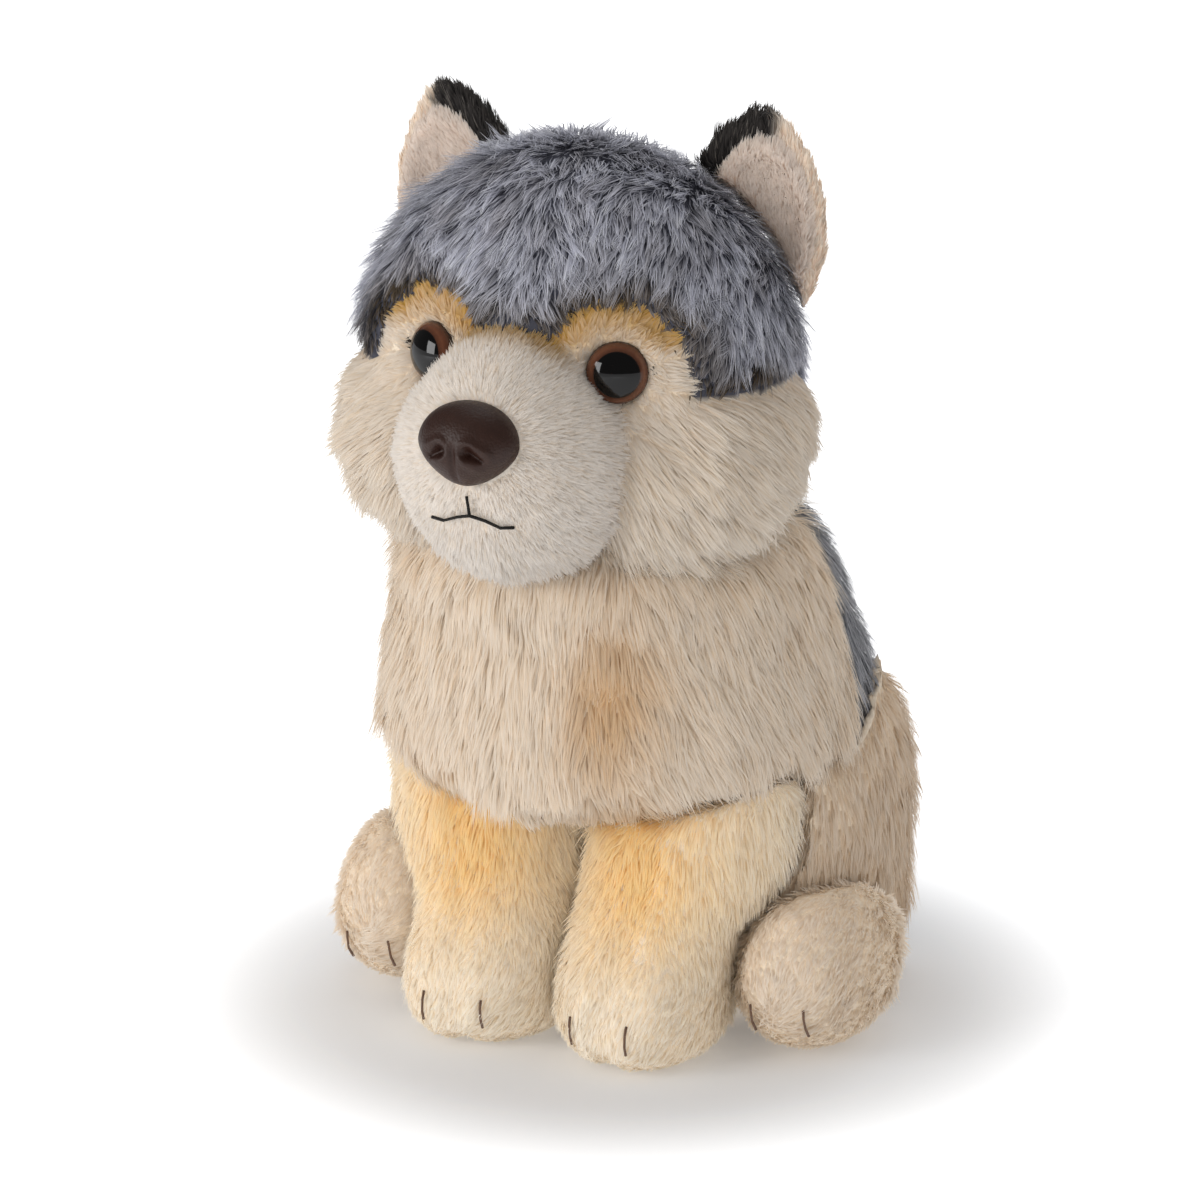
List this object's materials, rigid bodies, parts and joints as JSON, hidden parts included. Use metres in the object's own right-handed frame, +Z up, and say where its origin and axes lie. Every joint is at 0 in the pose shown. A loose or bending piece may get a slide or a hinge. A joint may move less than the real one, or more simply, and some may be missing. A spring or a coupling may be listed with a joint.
{
  "type": "plush wolf",
  "caption": "Sitting plush wolf pup with a grey cap and back, cream long pile chest and cheeks, plastic eyes and nose, filled with fibre",
  "frame": {"origin": "the middle of the flat seat, on the surface that the toy sits on", "axes": "+Z up through the head, the face looks along -Y, the wolf's left is +X"},
  "size_m": [0.1502, 0.2014, 0.2325],
  "materials": {
    "grey_fur": "long pile, dark at the roots and pale at the tips",
    "cream_fur": "long combed pile",
    "muzzle_plush": "short dense pile",
    "leg_plush": "medium pile, airbrushed ochre in places",
    "dark_fur": "short dark pile",
    "ear_lining": "short pile",
    "eye_plastic": "clear polished dome over a brown ring and a black pupil",
    "nose_plastic": "moulded with a fine leather grain, satin",
    "washer_plastic": "plain moulded",
    "black_thread": "stranded cotton, laid stitches",
    "brown_thread": "waxed polyester, pulled tight",
    "filling": "loose polyester fibre"
  },
  "bodies": {
    "root": {"head_cap": "grey_fur", "face_left": "cream_fur", "face_right": "cream_fur", "muzzle": "muzzle_plush", "ear_back_left": "dark_fur", "ear_back_right": "dark_fur", "ear_front_left": "ear_lining", "ear_front_right": "ear_lining", "eye_left": "eye_plastic", "eye_right": "eye_plastic", "eye_washer_left": "washer_plastic", "eye_washer_right": "washer_plastic", "nose": "nose_plastic", "nose_washer": "washer_plastic", "mouth_thread": "black_thread", "head_stuffing": "filling", "chest_panel": "cream_fur", "back_panel": "grey_fur", "seat_panel": "cream_fur", "body_stuffing": "filling", "tail": "grey_fur", "tail_stuffing": "filling", "front_leg_outer_left": "leg_plush", "front_leg_outer_right": "leg_plush", "front_leg_inner_left": "leg_plush", "front_leg_inner_right": "leg_plush", "front_leg_stuffing_left": "filling", "front_leg_stuffing_right": "filling", "haunch_left": "cream_fur", "haunch_right": "cream_fur", "haunch_stuffing_left": "filling", "haunch_stuffing_right": "filling", "rear_paw_left": "leg_plush", "rear_paw_right": "leg_plush", "rear_paw_stuffing_left": "filling", "rear_paw_stuffing_right": "filling", "front_toe_thread_inner_left": "brown_thread", "front_toe_thread_inner_right": "brown_thread", "front_toe_thread_outer_left": "brown_thread", "front_toe_thread_outer_right": "brown_thread", "rear_toe_thread_inner_left": "brown_thread", "rear_toe_thread_inner_right": "brown_thread", "rear_toe_thread_outer_left": "brown_thread", "rear_toe_thread_outer_right": "brown_thread"}
  },
  "joints": []
}
